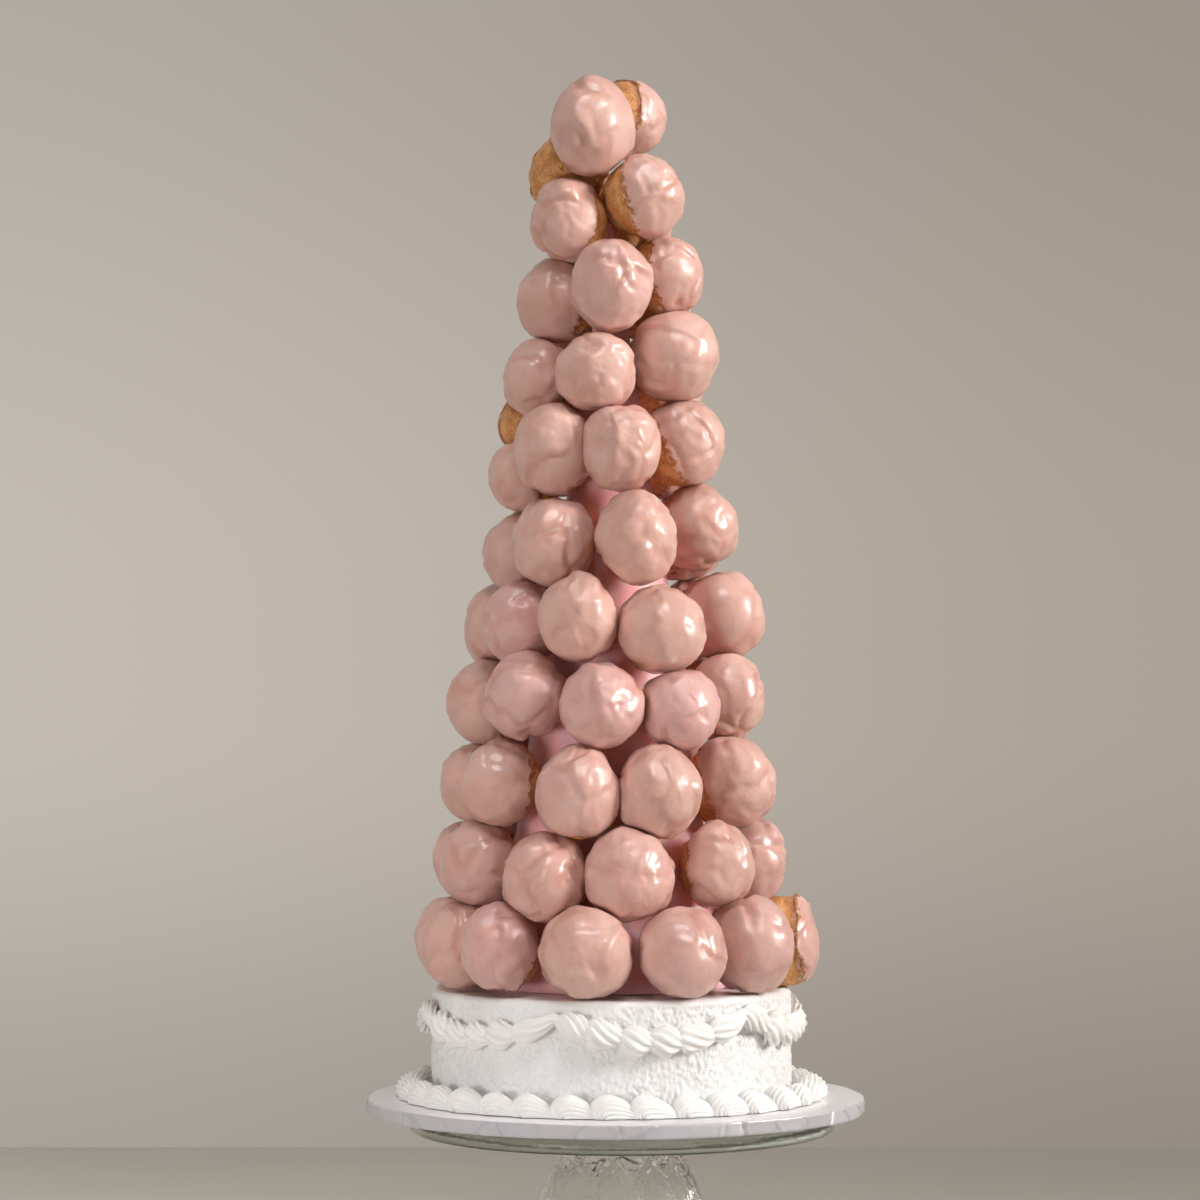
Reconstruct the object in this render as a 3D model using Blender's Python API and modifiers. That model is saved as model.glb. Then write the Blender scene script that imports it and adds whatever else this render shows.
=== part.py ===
"""Croquembouche: a tower of dipped cream puffs on an iced cake, its board and its glass stand.

Metres, +Z up. The origin is at the centre of the cake board, level with the foot of the stand.
Azimuths are in degrees: 0 faces the front (-Y) and 90 the right (+X).
"""

import math
import random

import bmesh
import bpy
from mathutils import Vector

GAP = 0.0003  # left between pieces that touch

# Glass stand
PEDESTAL_HEIGHT = 0.125
PEDESTAL_SHIFT = 0.0038  # the stand's axis lies this far right of the board's
PEDESTAL_OUTLINE = (  # depth below the plate, radius
    (0.0, 0.0365),
    (0.016, 0.0392),
    (0.045, 0.0504),
    (0.062, 0.0510),
    (0.080, 0.0400),
    (0.094, 0.0330),
    (0.106, 0.0420),
    (0.119, 0.0690),
)
FOOT_RADIUS = 0.0750
FOOT_EDGE = 0.0040
PLATE_RADIUS = 0.1300
PLATE_THICKNESS = 0.0119
PLATE_EDGE = 0.0035

# Cake board
BOARD_RADIUS = 0.1524
BOARD_THICKNESS = 0.0086
BOARD_EDGE = 0.0012

# Iced cake
CAKE_RADIUS = 0.1104
CAKE_HEIGHT = 0.0670
CAKE_EDGE = 0.0045
CAKE_SHIFT = -0.0026  # left of the board's centre

# Piped border round the foot of the cake
SHELL_COUNT = 33
SHELL_WIDTH = 0.0235
SHELL_HEIGHT = 0.0172
SHELL_RELIEF = 0.0022
SHELL_CENTRE = 0.45  # height of the section's centre, as a part of the border's height

# Piped garland round the wall
SWAG_COUNT = 6
SWAG_START = -16.0  # azimuth of the first high point
SWAG_TOP = 0.0070  # the high points' centre, below the cake's top
SWAG_DROP = 0.0175
SWAG_SAG = 1.7  # above 1 the swag is narrow at its high points
BEAD_COUNT = 42
BEAD_DEPTH = 0.0075
BEAD_HEIGHT = 0.0150
BEAD_RELIEF = 0.0010

# Cone inside the tower
CONE_RADIUS = 0.0740
CONE_APEX = 0.4850  # height at which the side would meet the axis
CONE_HEIGHT = 0.4700

# Cream puffs
PUFF_FRONT = 0.45  # from the centre to the outer face, as a part of the puff's height
PUFF_BACK = 0.41  # from the centre to the flat base
PUFF_INNER = 0.50  # the same before the base is pressed flat
SMALLEST_RING = 0.0170
PUFF_LUMP = 0.022
LUMP_WAVES = 5
BACK_WIDTH = 0.0580
BACK_TALL = 0.0570
TOWER_SHIFT = -0.0033  # left of the board's centre
ROW_STEP = 0.0500
FIRST_ROW = 0.0270
PLANE_PASSES = 12
NEIGHBOUR_REACH = 1.3  # puffs further apart than this many times their reach can't touch

# Each row from the bottom up: the number of puffs behind, how far the row stands off the cone and
# how far it leans to the right in millimetres, then each puff in front, as its azimuth in degrees
# and its lift over the row's level, width and height in millimetres.
ROWS = (
    (5, 9, 3, ((-96, 3, 50, 53), (-65, 1, 50, 54), (-43, 3, 46, 53), (-10, -1, 56, 54),
               (24, -1, 54, 54), (52, 2, 48, 57), (87, 0, 52, 55))),
    (4, 3, -2, ((-98, -1, 49, 51), (-60, -1, 48, 53), (-25, -6, 49, 52), (9, -4, 55, 52),
                (49, 1, 42, 53), (80, 0, 50, 52))),
    (4, 3, -2, ((-92, -4, 50, 52), (-52, -2, 46, 54), (-11, -6, 50, 57), (22, -6, 50, 56),
                (68, -1, 50, 56))),
    (4, 6, 0, ((-86, -4, 50, 52), (-43, 0, 49, 53), (-4, -4, 49, 53), (34, -9, 46, 50),
               (74, 0, 49, 52))),
    (3, 7, 0, ((-103, -5, 48, 50), (-57, -5, 46, 49), (-16, -3, 47, 54), (26, -9, 55, 53),
               (84, 0, 52, 55))),
    (3, 3, 2, ((-88, -10, 48, 49), (-39, -6, 50, 52), (12, -5, 49, 56), (80, 4, 50, 52))),
    (2, 4, -1, ((-100, 19, 48, 50), (-82, -11, 47, 50), (-41, -1, 48, 55), (9, -1, 49, 52),
                (70, 6, 49, 52))),
    (2, 7, 0, ((-76, -7, 48, 50), (-12, -3, 50, 48), (62, 9, 51, 57))),
    (2, 6, 2, ((-83, -5, 46, 52), (0, 0, 53, 54), (72, 8, 50, 49))),
    (1, 6, 0, ((-100, 25, 48, 50), (-56, -5, 46, 52), (49, 6, 47, 54))),
    (0, 1, 0, ((-30, 0, 50, 59), (150, 11, 49, 49))),
)
ROWS_IN_A_GROUP = 2  # rows whose puffs behind make one solid

# Facets
TURNED_STEPS = 32
PEDESTAL_STEPS = 20
PEDESTAL_RINGS = 9
SHELL_SECTION = 5
BEAD_SECTION = 4
EDGE_POINTS = 3

PLATE_LEVEL = PEDESTAL_HEIGHT + GAP
BOARD_LEVEL = PLATE_LEVEL + PLATE_THICKNESS + GAP
CAKE_LEVEL = BOARD_LEVEL + BOARD_THICKNESS + GAP
CAKE_TOP = CAKE_LEVEL + CAKE_HEIGHT


def clear_scene():
    for thing in list(bpy.data.objects):
        bpy.data.objects.remove(thing, do_unlink=True)


def new_collection(name):
    collection = bpy.data.collections.new(name)
    bpy.context.scene.collection.children.link(collection)
    return collection


def finish(name, color, roughness, transmission=0.0):
    """A plain Principled material."""
    material = bpy.data.materials.new(name)
    material.use_nodes = True
    shader = material.node_tree.nodes["Principled BSDF"]
    shader.inputs["Base Color"].default_value = (*color, 1.0)
    shader.inputs["Roughness"].default_value = roughness
    shader.inputs["Metallic"].default_value = 0.0
    shader.inputs["Transmission Weight"].default_value = transmission
    return material


def place(name, mesh, material, collection, location=(0.0, 0.0, 0.0)):
    part = bpy.data.objects.new(name, mesh)
    part.location = location
    mesh.materials.append(material)
    collection.objects.link(part)
    return part


def quarter_round(radius, level, edge, top):
    """Outline points of a rounded edge, running down the outer side."""
    outline = []
    for step in range(EDGE_POINTS):
        turn = 0.5 * math.pi * step / (EDGE_POINTS - 1)
        if top:
            corner = (radius - edge + edge * math.sin(turn), level - edge + edge * math.cos(turn))
        else:
            corner = (radius - edge + edge * math.cos(turn), level + edge - edge * math.sin(turn))
        outline.append(corner)
    return outline


def turned(name, outline, steps, material, collection, location):
    """A solid of revolution from (radius, height) points that run down its outer side."""
    mesh = bpy.data.meshes.new(name)
    edges = [(index, index + 1) for index in range(len(outline) - 1)]
    mesh.from_pydata([(radius, 0.0, height) for radius, height in outline], edges, [])
    part = place(name, mesh, material, collection, location)
    screw = part.modifiers.new("turn", "SCREW")
    screw.steps = steps
    screw.render_steps = steps
    screw.use_merge_vertices = True
    screw.merge_threshold = 0.00002
    return part


def glass_plate(material, collection):
    outline = [(0.0, PLATE_THICKNESS)]
    outline += quarter_round(PLATE_RADIUS, PLATE_THICKNESS, PLATE_EDGE, True)
    outline += quarter_round(PLATE_RADIUS, 0.0, PLATE_EDGE, False)
    outline.append((0.0, 0.0))
    spot = (PEDESTAL_SHIFT, 0.0, PLATE_LEVEL)
    return turned("glass_plate", outline, TURNED_STEPS, material, collection, spot)


def cake_board(material, collection):
    inner = BOARD_RADIUS - BOARD_EDGE
    outline = [
        (0.0, BOARD_THICKNESS),
        (inner, BOARD_THICKNESS),
        (BOARD_RADIUS, BOARD_THICKNESS - BOARD_EDGE),
        (BOARD_RADIUS, BOARD_EDGE),
        (inner, 0.0),
        (0.0, 0.0),
    ]
    spot = (0.0, 0.0, BOARD_LEVEL)
    return turned("cake_board", outline, TURNED_STEPS, material, collection, spot)


def iced_cake(material, collection):
    outline = [(0.0, CAKE_HEIGHT)]
    outline += quarter_round(CAKE_RADIUS, CAKE_HEIGHT, CAKE_EDGE, True)
    outline += [(CAKE_RADIUS, 0.0), (0.0, 0.0)]
    spot = (CAKE_SHIFT, 0.0, CAKE_LEVEL)
    return turned("cake", outline, TURNED_STEPS, material, collection, spot)


def smooth_radius(keys, depth):
    """Radius at a depth, on a smooth curve through the (depth, radius) keys."""
    last = len(keys) - 1
    span = next((i for i in range(last) if depth <= keys[i + 1][0]), last - 1)
    before, start, end, after = (keys[min(max(span + i, 0), last)] for i in (-1, 0, 1, 2))
    share = (depth - start[0]) / (end[0] - start[0])
    start_slope = (end[1] - before[1]) / (end[0] - before[0]) * (end[0] - start[0])
    end_slope = (after[1] - start[1]) / (after[0] - start[0]) * (end[0] - start[0])
    square, cube = share**2, share**3
    return (
        (2 * cube - 3 * square + 1) * start[1]
        + (cube - 2 * square + share) * start_slope
        + (3 * square - 2 * cube) * end[1]
        + (cube - square) * end_slope
    )


def glass_pedestal(material, collection):
    """A solid bulb over a waist and a round foot."""
    deepest = PEDESTAL_OUTLINE[-1][0]
    outer = []
    for ring in range(PEDESTAL_RINGS + 1):
        depth = deepest * ring / PEDESTAL_RINGS
        outer.append((smooth_radius(PEDESTAL_OUTLINE, depth), PEDESTAL_HEIGHT - depth))
    outline = [(0.0, PEDESTAL_HEIGHT), *outer, (FOOT_RADIUS, FOOT_EDGE), (FOOT_RADIUS, 0.0)]
    outline.append((0.0, 0.0))
    return turned(
        "glass_pedestal", outline, PEDESTAL_STEPS, material, collection, (PEDESTAL_SHIFT, 0.0, 0.0)
    )


def cone_radius(height):
    return CONE_RADIUS * max(1.0 - height / CONE_APEX, 0.0)


def foam_cone(material, collection):
    mesh = bpy.data.meshes.new("cone")
    cage = bmesh.new()
    bmesh.ops.create_cone(
        cage,
        cap_ends=True,
        cap_tris=False,
        segments=TURNED_STEPS,
        radius1=CONE_RADIUS,
        radius2=cone_radius(CONE_HEIGHT),
        depth=CONE_HEIGHT,
    )
    cage.to_mesh(mesh)
    cage.free()
    centre = (TOWER_SHIFT, 0.0, CAKE_TOP + GAP + CONE_HEIGHT / 2)
    return place("cone", mesh, material, collection, centre)


def piped_ring(name, beads, points, section, relief, level_at, material, collection):
    """A piped rope round the cake: a torus whose section swells at each bead.

    section is its depth from the wall and its height. level_at gives its centre's height at a
    turn in radians from +X.
    """
    bpy.ops.mesh.primitive_torus_add(
        major_segments=beads * 2,
        minor_segments=points,
        major_radius=1.0,
        minor_radius=0.5,
    )
    rope = bpy.context.active_object
    rope.name = name
    rope.data.name = name
    for other in rope.users_collection:
        other.objects.unlink(rope)
    collection.objects.link(rope)
    rope.data.materials.append(material)
    depth, height = section
    for vertex in rope.data.vertices:
        across = math.hypot(vertex.co.x, vertex.co.y) - 1.0
        turn = math.atan2(vertex.co.y, vertex.co.x)
        swell = relief * math.cos(turn * beads)
        radius = CAKE_RADIUS + GAP * 2 + (across + 0.5) * (depth + swell)
        rise = max(level_at(turn) + vertex.co.z * (height + swell), CAKE_LEVEL)
        vertex.co = (radius * math.cos(turn), radius * math.sin(turn), rise)
    rope.location = (CAKE_SHIFT, 0.0, 0.0)
    return rope


def swag_level(turn):
    """Height of the garland's centre, which hangs between evenly spaced high points."""
    azimuth = math.degrees(turn) + 90.0
    share = ((azimuth - SWAG_START) * SWAG_COUNT / 360.0) % 1.0
    hang = (4.0 * share * (1.0 - share)) ** (1.0 / SWAG_SAG)
    return CAKE_TOP - SWAG_TOP - SWAG_DROP * hang


def shell_level(turn):
    """The border is the same all round, and its underside is pressed flat on the board."""
    return CAKE_LEVEL + SHELL_HEIGHT * SHELL_CENTRE


class Puff:
    """Where one cream puff sits and how large it is."""

    def __init__(self, row, azimuth, lift, width, tall, group=None):
        height = FIRST_ROW + ROW_STEP * row + lift
        standoff, lean = (value / 1000 for value in ROWS[row][1:3])
        ring = max(cone_radius(height) + PUFF_BACK * tall + standoff, SMALLEST_RING)
        turn = math.radians(azimuth)
        slope = math.atan2(CONE_RADIUS, CONE_APEX)
        around = Vector((math.sin(turn), -math.cos(turn), 0.0))
        self.outward = (around * math.cos(slope) + Vector((0, 0, math.sin(slope)))).normalized()
        self.aside = Vector((math.cos(turn), math.sin(turn), 0.0))
        self.upward = self.aside.cross(self.outward) * -1.0
        self.centre = around * ring + Vector((TOWER_SHIFT + lean, 0.0, CAKE_TOP + height))
        self.width = width
        self.tall = tall
        self.reach = (width + tall) / 4
        self.group = group
        self.seed = round(1000 * row + azimuth % 360)


def front_puffs(row):
    shown = ROWS[row][-1]
    return [Puff(row, az, lift / 1000, wide / 1000, tall / 1000) for az, lift, wide, tall in shown]


def back_puffs(row):
    """Puffs spread evenly over the arc behind, from the right-hand one to the left-hand one."""
    behind, shown = ROWS[row][0], ROWS[row][-1]
    azimuths = [puff[0] % 360 for puff in shown]
    first = max(a for a in azimuths if a <= 180) if behind else 0
    last = min(a for a in azimuths if a > 180) if behind else 0
    step = (last - first) / (behind + 1)
    group = row // ROWS_IN_A_GROUP
    return [
        Puff(row, first + step * (index + 1), 0.0, BACK_WIDTH, BACK_TALL, group)
        for index in range(behind)
    ]


def limits(puff, puffs):
    """Planes that keep a puff off the cone, the cake and its neighbours, as (normal, distance)."""
    slope = math.atan2(CONE_RADIUS, CONE_APEX)
    face = CONE_RADIUS * math.cos(slope) + GAP
    cone_foot = Vector((TOWER_SHIFT, 0.0, CAKE_TOP))
    planes = [
        (-puff.outward, -(puff.outward.dot(cone_foot) + face)),
        (Vector((0, 0, -1)), -(CAKE_TOP + GAP)),
    ]
    for other in puffs:
        if other is puff or (puff.group is not None and other.group == puff.group):
            continue
        way = other.centre - puff.centre
        apart = way.length
        if apart > NEIGHBOUR_REACH * (puff.reach + other.reach):
            continue
        way.normalize()
        share = (apart**2 + puff.reach**2 - other.reach**2) / (2 * apart)
        planes.append((way, puff.centre.dot(way) + share - GAP / 2))
    return planes


def kept_inside(point, planes):
    for _ in range(PLANE_PASSES):
        for normal, distance in planes:
            beyond = point.dot(normal) - distance
            if beyond > 0.0:
                point = point - normal * beyond
    return point


def puff_mesh(name, puff, puffs):
    """A lumpy ball, flat where it meets the cone and its neighbours."""
    dice = random.Random(puff.seed)
    waves = []
    for _ in range(LUMP_WAVES):
        heading = Vector([dice.gauss(0.0, 1.0) for _ in range(3)]).normalized()
        waves.append((heading * dice.uniform(2.5, 5.0), dice.uniform(0.0, math.tau)))
    planes = limits(puff, puffs)
    cage = bmesh.new()
    bmesh.ops.create_icosphere(cage, subdivisions=2, radius=1.0)
    for vertex in cage.verts:
        spot = vertex.co.copy()
        lump = 1.0 + PUFF_LUMP * sum(math.sin(spot.dot(wave) + phase) for wave, phase in waves)
        point = puff.centre + lump * (
            puff.aside * spot.x * puff.width / 2
            + puff.upward * spot.z * puff.tall / 2
            - puff.outward * spot.y * puff.tall * (PUFF_FRONT if spot.y < 0 else PUFF_INNER)
        )
        vertex.co = kept_inside(point, planes)
    bmesh.ops.recalc_face_normals(cage, faces=cage.faces)
    mesh = bpy.data.meshes.new(name)
    cage.to_mesh(mesh)
    cage.free()
    return mesh


def build_tower(material, collection, cutters):
    front = [front_puffs(row) for row in range(len(ROWS))]
    back = [puff for row in range(len(ROWS)) for puff in back_puffs(row)]
    puffs = [puff for row in front for puff in row] + back
    for row, shown in enumerate(front, start=1):
        for index, puff in enumerate(shown, start=1):
            name = f"puff_{row:02d}_{index}"
            place(name, puff_mesh(name, puff, puffs), material, collection)
    for group in sorted({puff.group for puff in back}):
        first, *others = [puff for puff in back if puff.group == group]
        low = group * ROWS_IN_A_GROUP + 1
        name = f"puffs_behind_{low:02d}_{low + ROWS_IN_A_GROUP - 1:02d}"
        joined = place(name, puff_mesh(name, first, puffs), material, collection)
        operands = bpy.data.collections.new(f"{name}_joined")
        cutters.children.link(operands)
        for index, puff in enumerate(others):
            extra = f"{name}_join_{index}"
            guide = place(extra, puff_mesh(extra, puff, puffs), material, operands)
            guide.hide_render = True
            guide.display_type = "WIRE"
        union = joined.modifiers.new("join", "BOOLEAN")
        union.operation = "UNION"
        union.operand_type = "COLLECTION"
        union.collection = operands
        union.solver = "EXACT"


def build():
    clear_scene()
    parts = new_collection("Croquembouche")
    cutters = new_collection("Cutters")
    glass = finish("glass", (0.86, 0.90, 0.87), 0.05, transmission=1.0)
    foil = finish("white_foil", (0.78, 0.75, 0.78), 0.35)
    icing = finish("buttercream", (0.86, 0.83, 0.78), 0.6)
    foam = finish("pink_cone", (0.80, 0.50, 0.52), 0.6)
    glaze = finish("pink_glaze", (0.78, 0.47, 0.40), 0.35)

    glass_pedestal(glass, parts)
    glass_plate(glass, parts)
    cake_board(foil, parts)
    iced_cake(icing, parts)
    piped_ring("shell_border", SHELL_COUNT, SHELL_SECTION, (SHELL_WIDTH, SHELL_HEIGHT),
               SHELL_RELIEF, shell_level, icing, parts)
    piped_ring("garland", BEAD_COUNT, BEAD_SECTION, (BEAD_DEPTH, BEAD_HEIGHT),
               BEAD_RELIEF, swag_level, icing, parts)
    foam_cone(foam, parts)
    build_tower(glaze, parts, cutters)


build()
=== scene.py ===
import math

import bpy
import numpy as np
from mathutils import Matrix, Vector


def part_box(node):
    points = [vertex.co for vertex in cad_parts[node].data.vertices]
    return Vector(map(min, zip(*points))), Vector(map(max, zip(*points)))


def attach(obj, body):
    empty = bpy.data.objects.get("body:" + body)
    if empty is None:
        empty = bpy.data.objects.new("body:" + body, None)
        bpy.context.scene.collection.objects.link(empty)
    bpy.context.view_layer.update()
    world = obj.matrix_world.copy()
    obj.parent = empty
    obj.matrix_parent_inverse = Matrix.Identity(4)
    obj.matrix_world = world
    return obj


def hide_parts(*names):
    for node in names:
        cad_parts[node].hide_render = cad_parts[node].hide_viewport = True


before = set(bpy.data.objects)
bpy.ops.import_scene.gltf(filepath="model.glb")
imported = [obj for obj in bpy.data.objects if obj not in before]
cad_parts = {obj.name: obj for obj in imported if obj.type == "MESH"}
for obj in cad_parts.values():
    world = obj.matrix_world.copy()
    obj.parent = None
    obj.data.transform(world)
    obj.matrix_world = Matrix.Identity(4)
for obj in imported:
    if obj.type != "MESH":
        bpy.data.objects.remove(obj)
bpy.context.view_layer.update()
scene = bpy.context.scene


# small tools used all through

def softStep(value, start, end):
    share = np.clip((value - start) / (end - start), 0.0, 1.0)
    return share * share * (3.0 - 2.0 * share)


def latticeNoise(spots, seed):
    # smooth noise from -1 to 1 at each spot, one bump per unit
    cell = np.floor(spots).astype(np.int64)
    part = spots - cell
    part = part ** 3 * (part * (part * 6.0 - 15.0) + 10.0)
    total = np.zeros(len(spots))
    for corner in range(8):
        shift = np.array([corner & 1, corner >> 1 & 1, corner >> 2 & 1])
        key = (cell + shift) @ np.array([73856093, 19349663, 83492791]) + seed * 104729
        key = ((key ^ (key >> 13)) * 1274126177) & 0x7FFFFFFF
        key = ((key ^ (key >> 15)) * 739182331) & 0x7FFFFFFF
        weight = np.prod(np.where(shift == 1, part, 1.0 - part), axis=1)
        total += weight * ((key >> 7 & 0xFFFF) / 32767.5 - 1.0)
    return total


def wovenNoise(spots, seed, layers=3):
    # several sizes of the same noise, each half as strong
    total = np.zeros(len(spots))
    for layer in range(layers):
        total += latticeNoise(spots * 2.03 ** layer + 7.3 * layer, seed + 31 * layer) / 2.0 ** layer
    return total / (2.0 - 0.5 ** (layers - 1))


def closedFaces(rows, steps):
    # quads between rings of points, then a fan over the first ring and one over the last;
    # the two end points follow the rings
    row = np.arange(rows - 1)[:, None] * steps
    step = np.arange(steps)[None, :]
    after = (step + 1) % steps
    quads = np.stack([row + step, row + after, row + steps + after, row + steps + step], axis=-1)
    faces = quads.reshape(-1, 4).tolist()
    firstEnd, lastRing = rows * steps, (rows - 1) * steps
    faces += [(firstEnd, (step + 1) % steps, step) for step in range(steps)]
    faces += [(firstEnd + 1, lastRing + step, lastRing + (step + 1) % steps) for step in range(steps)]
    return faces


def lowerEdge(radius, bottom, edge, count):
    # (radius, height) points of a rounded edge, from the underside out to the side
    return [(radius - edge + edge * math.sin(angle), bottom + edge - edge * math.cos(angle))
            for angle in np.linspace(0.0, math.pi / 2, count)]


def upperEdge(radius, top, edge, count):
    # the same from the side in to the top
    return [(radius - edge + edge * math.cos(angle), top - edge + edge * math.sin(angle))
            for angle in np.linspace(0.0, math.pi / 2, count)]


def markPiece(piece, label, values):
    # a value at each corner that a finish reads
    marks = piece.data.attributes.new(label, "FLOAT", "POINT")
    marks.data.foreach_set("value", values.astype(np.float32))


def makeMesh(name, spots, faces, finishes, picks=None):
    # faces is a list of lists of corner numbers; picks gives each face's finish
    mesh = bpy.data.meshes.new(name)
    mesh.from_pydata(np.asarray(spots).tolist(), [], [list(map(int, face)) for face in faces])
    for finish in finishes:
        mesh.materials.append(finish)
    if picks is not None:
        mesh.polygons.foreach_set("material_index", np.asarray(picks, dtype=np.int32))
    mesh.polygons.foreach_set("use_smooth", np.ones(len(mesh.polygons), dtype=bool))
    mesh.update()
    piece = bpy.data.objects.new(name, mesh)
    scene.collection.objects.link(piece)
    return piece


def nodeSpots(name):
    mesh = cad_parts[name].data
    spots = np.empty(len(mesh.vertices) * 3)
    mesh.vertices.foreach_get("co", spots)
    return spots.reshape(-1, 3)


def settle(piece, node):
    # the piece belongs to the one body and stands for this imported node
    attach(piece, "root")
    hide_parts(node)


# node groups shared by the finishes

def newGroup(name, inputs, outputs):
    group = bpy.data.node_groups.new(name, "ShaderNodeTree")
    for label, kind, value in inputs:
        socket = group.interface.new_socket(label, in_out="INPUT", socket_type=kind)
        socket.default_value = value
    for label, kind in outputs:
        group.interface.new_socket(label, in_out="OUTPUT", socket_type=kind)
    entry = group.nodes.new("NodeGroupInput")
    leave = group.nodes.new("NodeGroupOutput")
    return group, entry, leave


def mathNode(tree, operation, first, second=0.0):
    node = tree.nodes.new("ShaderNodeMath")
    node.operation = operation
    for socket, value in zip(node.inputs, (first, second)):
        if isinstance(value, (int, float)):
            socket.default_value = value
        else:
            tree.links.new(value, socket)
    return node.outputs[0]


def mixNode(tree, share, first, second, blend="MIX"):
    node = tree.nodes.new("ShaderNodeMix")
    node.data_type = "RGBA"
    node.blend_type = blend
    for label, value in ((0, share), (6, first), (7, second)):
        socket = node.inputs[label]
        if isinstance(value, (int, float)):
            socket.default_value = value
        elif isinstance(value, tuple):
            socket.default_value = (*value, 1.0)
        else:
            tree.links.new(value, socket)
    return node.outputs[2]


def noiseNode(tree, place, scale, detail=2.0, rough=0.5, twist=0.0):
    node = tree.nodes.new("ShaderNodeTexNoise")
    node.inputs["Detail"].default_value = detail
    node.inputs["Roughness"].default_value = rough
    node.inputs["Distortion"].default_value = twist
    if isinstance(scale, (int, float)):
        node.inputs["Scale"].default_value = scale
    else:
        tree.links.new(scale, node.inputs["Scale"])
    tree.links.new(place, node.inputs["Vector"])
    return node.outputs["Fac"]


def spreadNode(tree, value, low, high, newLow=0.0, newHigh=1.0):
    node = tree.nodes.new("ShaderNodeMapRange")
    node.interpolation_type = "SMOOTHSTEP"
    tree.links.new(value, node.inputs["Value"])
    for label, number in (("From Min", low), ("From Max", high), ("To Min", newLow), ("To Max", newHigh)):
        if isinstance(number, (int, float)):
            node.inputs[label].default_value = number
        else:
            tree.links.new(number, node.inputs[label])
    return node.outputs["Result"]


def makeMottle():
    # soft blotches of two tones, with a finer fleck over them
    group, entry, leave = newGroup(
        "mottle",
        [("Tone A", "NodeSocketColor", (0.8, 0.8, 0.8, 1)),
         ("Tone B", "NodeSocketColor", (0.7, 0.7, 0.7, 1)),
         ("Blotch Scale", "NodeSocketFloat", 40.0),
         ("Fleck Scale", "NodeSocketFloat", 300.0),
         ("Fleck", "NodeSocketFloat", 0.2)],
        [("Color", "NodeSocketColor"), ("Mask", "NodeSocketFloat")],
    )
    place = group.nodes.new("ShaderNodeTexCoord").outputs["Object"]
    blotch = noiseNode(group, place, entry.outputs["Blotch Scale"], 2.0)
    fleck = noiseNode(group, place, entry.outputs["Fleck Scale"], 3.0, 0.6)
    fleckPart = mathNode(group, "MULTIPLY", mathNode(group, "SUBTRACT", fleck, 0.5), entry.outputs["Fleck"])
    mask = spreadNode(group, mathNode(group, "ADD", blotch, fleckPart), 0.32, 0.68)
    color = mixNode(group, mask, entry.outputs["Tone A"], entry.outputs["Tone B"])
    group.links.new(color, leave.inputs["Color"])
    group.links.new(mask, leave.inputs["Mask"])
    return group


def makeFineGrain():
    # a small uneven surface: low ripples with fine grain on them
    group, entry, leave = newGroup(
        "fineGrain",
        [("Ripple Scale", "NodeSocketFloat", 120.0), ("Grain Scale", "NodeSocketFloat", 900.0),
         ("Grain", "NodeSocketFloat", 0.3)],
        [("Height", "NodeSocketFloat"), ("Gloss", "NodeSocketFloat")],
    )
    place = group.nodes.new("ShaderNodeTexCoord").outputs["Object"]
    ripple = noiseNode(group, place, entry.outputs["Ripple Scale"], 2.0, 0.5, 0.4)
    grain = noiseNode(group, place, entry.outputs["Grain Scale"], 2.0)
    height = mathNode(group, "ADD", ripple, mathNode(group, "MULTIPLY", grain, entry.outputs["Grain"]))
    group.links.new(height, leave.inputs["Height"])
    group.links.new(ripple, leave.inputs["Gloss"])
    return group


mottle = makeMottle()
fineGrain = makeFineGrain()


def placeGroup(tree, group, **values):
    node = tree.nodes.new("ShaderNodeGroup")
    node.node_tree = group
    for label, value in values.items():
        socket = node.inputs[label.replace("_", " ")]
        if isinstance(value, tuple):
            socket.default_value = (*value, 1.0)
        elif isinstance(value, (int, float)):
            socket.default_value = value
        else:
            tree.links.new(value, socket)
    return node


def newFinish(name, **values):
    finish = bpy.data.materials.new(name)
    finish.use_nodes = True
    tree = finish.node_tree
    shader = tree.nodes["Principled BSDF"]
    for label, value in values.items():
        shader.inputs[label.replace("_", " ")].default_value = value
    return finish, tree, shader


def addGrain(tree, shader, sizes, gloss, depth, strength):
    # sizes are the ripple's scale, the grain's scale and the grain's share; gloss is a roughness range
    ripple, fine, share = sizes
    grain = placeGroup(tree, fineGrain, Ripple_Scale=ripple, Grain_Scale=fine, Grain=share)
    rough = spreadNode(tree, grain.outputs["Gloss"], 0.3, 0.7, *gloss)
    tree.links.new(rough, shader.inputs["Roughness"])
    bump = tree.nodes.new("ShaderNodeBump")
    bump.inputs["Strength"].default_value = strength
    bump.inputs["Distance"].default_value = depth
    tree.links.new(grain.outputs["Height"], bump.inputs["Height"])
    tree.links.new(bump.outputs["Normal"], shader.inputs["Normal"])


# finishes

def lipFlecks(tree, reach, scale):
    # ragged flecks that thicken towards the edge of the dip
    lip = tree.nodes.new("ShaderNodeAttribute")
    lip.attribute_name = "lip"
    place = tree.nodes.new("ShaderNodeTexCoord").outputs["Object"]
    ragged = noiseNode(tree, place, scale, 3.0, 0.6)
    near = mathNode(tree, "MULTIPLY", lip.outputs["Fac"], reach)
    return spreadNode(tree, mathNode(tree, "ADD", ragged, near), 0.76, 0.82)


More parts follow.
